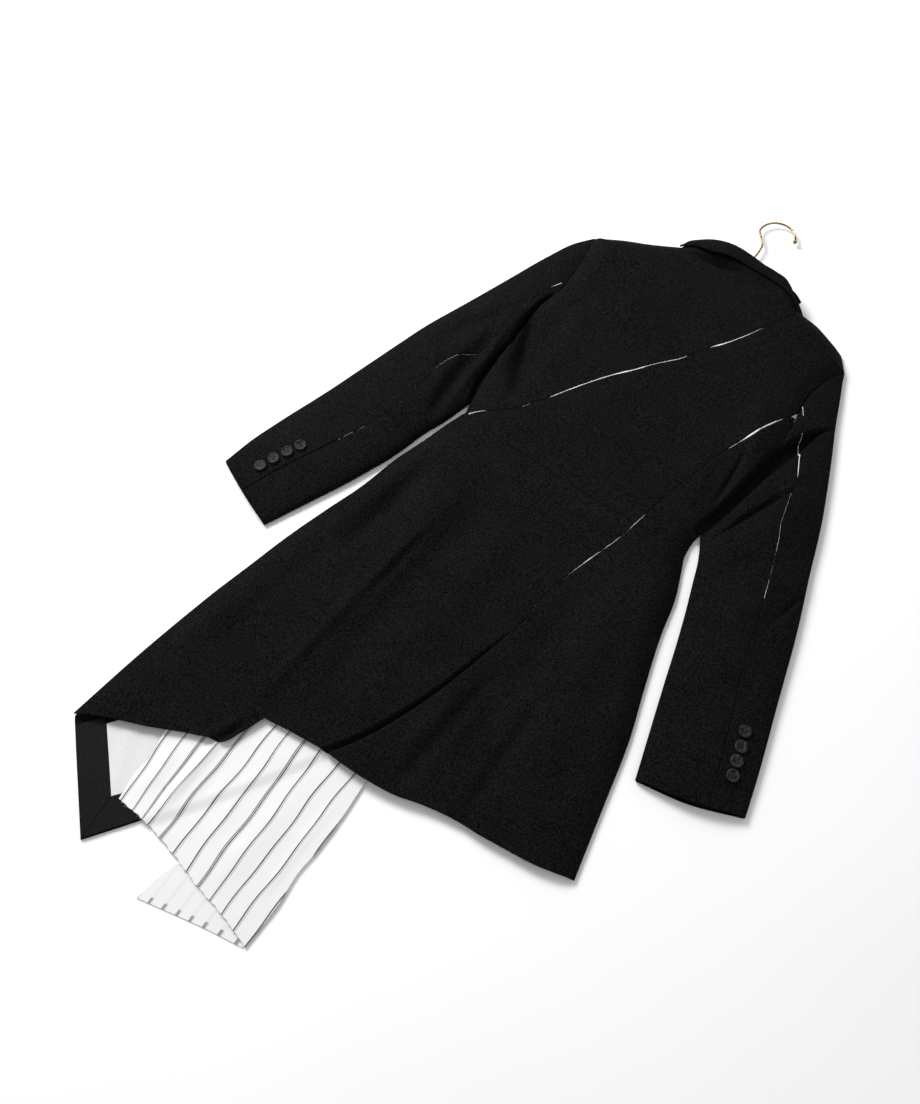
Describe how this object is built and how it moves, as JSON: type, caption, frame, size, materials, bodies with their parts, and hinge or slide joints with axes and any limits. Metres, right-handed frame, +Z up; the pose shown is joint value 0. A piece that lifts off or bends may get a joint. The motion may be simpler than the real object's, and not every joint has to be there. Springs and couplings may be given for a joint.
{
  "type": "tailored jacket on a hanger",
  "caption": "Long black tailored jacket with opened back seams and an uneven hem, laid face down over its hanger, with striped shirting below.",
  "frame": {"origin": "middle of the bounding box, on the surface that the jacket lies on", "axes": "+Z up through the back of the garment, +Y from the hem towards the neck, +X to the right as seen from above"},
  "size_m": [0.7487, 1.2178, 0.0321],
  "materials": {
    "wool": "matte fine wool suiting",
    "facing": "smooth black facing",
    "lining_grey": "light grey satin lining",
    "lining_white": "white cotton lining",
    "shirting": "white shirting with thin grey stripes",
    "horn": "dark horn look",
    "brass": "polished wire",
    "bar": "dark satin"
  },
  "bodies": {
    "root": {"back_upper_left": "wool", "back_lower_right": "wool", "back_side_right": "wool", "skirt_left": "wool", "skirt_right": "wool", "sleeve_left_top": "wool", "sleeve_left_under": "wool", "sleeve_right_top": "wool", "sleeve_right_under": "wool", "collar_fall": "wool", "collar_stand": "wool", "front_left": "wool", "front_right": "wool", "front_hem_turnup": "facing", "front_edge_facing": "facing", "lining_grey": "lining_grey", "lining_diagonal": "lining_white", "lining_side_back": "lining_white", "lining_skirt": "lining_white", "lining_sleeve_left": "lining_white", "lining_sleeve_right": "lining_white", "striped_upper": "shirting", "striped_lower": "shirting", "button_left_1": "horn", "button_left_2": "horn", "button_left_3": "horn", "button_left_4": "horn", "button_right_1": "horn", "button_right_2": "horn", "button_right_3": "horn", "button_right_4": "horn", "hanger_bar": "bar", "hanger_hook": "brass"}
  },
  "joints": []
}
